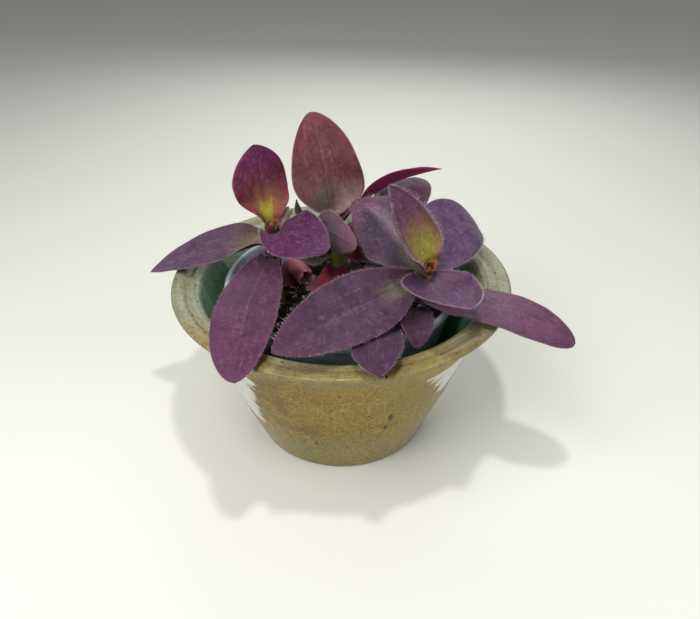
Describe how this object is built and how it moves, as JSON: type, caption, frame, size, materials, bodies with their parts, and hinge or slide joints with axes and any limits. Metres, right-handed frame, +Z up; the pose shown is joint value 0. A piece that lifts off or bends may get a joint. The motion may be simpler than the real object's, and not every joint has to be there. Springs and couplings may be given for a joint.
{
  "type": "potted plant",
  "caption": "Purple spiderwort houseplant in a plastic growing pot, standing inside a flared glazed stoneware pot with a broad flat rim.",
  "frame": {"origin": "centre of the stoneware pot's flat base, on the surface it stands on", "axes": "+Z up; +Y towards the back of the plant, away from the side seen in the picture; +X to the right as seen from the front"},
  "size_m": [0.1834, 0.1542, 0.1403],
  "materials": {
    "glazed_stoneware": "gloss",
    "liner_plastic": "satin",
    "potting_mix": "matte",
    "stem": "satin",
    "cut_stem": "satin",
    "leaf_plum": "satin",
    "leaf_violet": "satin",
    "leaf_mauve": "satin",
    "leaf_crimson": "satin"
  },
  "bodies": {
    "root": {"ceramic_pot": "glazed_stoneware", "nursery_pot": "liner_plastic", "soil": "potting_mix", "stem_left": "stem", "stem_middle": "stem", "stem_right": "stem", "stem_back": "stem", "stem_front": "stem", "cut_stem": "cut_stem", "leaf_left_upright": "leaf_mauve", "leaf_left_spoon": "leaf_violet", "leaf_left_long": "leaf_plum", "leaf_left_hanging": "leaf_plum", "leaf_middle_tall": "leaf_mauve", "leaf_middle_back": "leaf_crimson", "leaf_middle_front": "leaf_plum", "leaf_middle_sliver": "leaf_crimson", "leaf_middle_crimson": "leaf_crimson", "leaf_right_folded": "leaf_mauve", "leaf_right_spoon": "leaf_violet", "leaf_right_broad": "leaf_violet", "leaf_right_channel": "leaf_violet", "leaf_right_round": "leaf_violet", "leaf_right_long": "leaf_plum", "leaf_front_small": "leaf_plum", "leaf_back_dark": "leaf_violet", "leaf_back_red": "leaf_crimson", "leaf_back_blue": "leaf_violet", "leaf_front_low": "leaf_violet"}
  },
  "joints": []
}
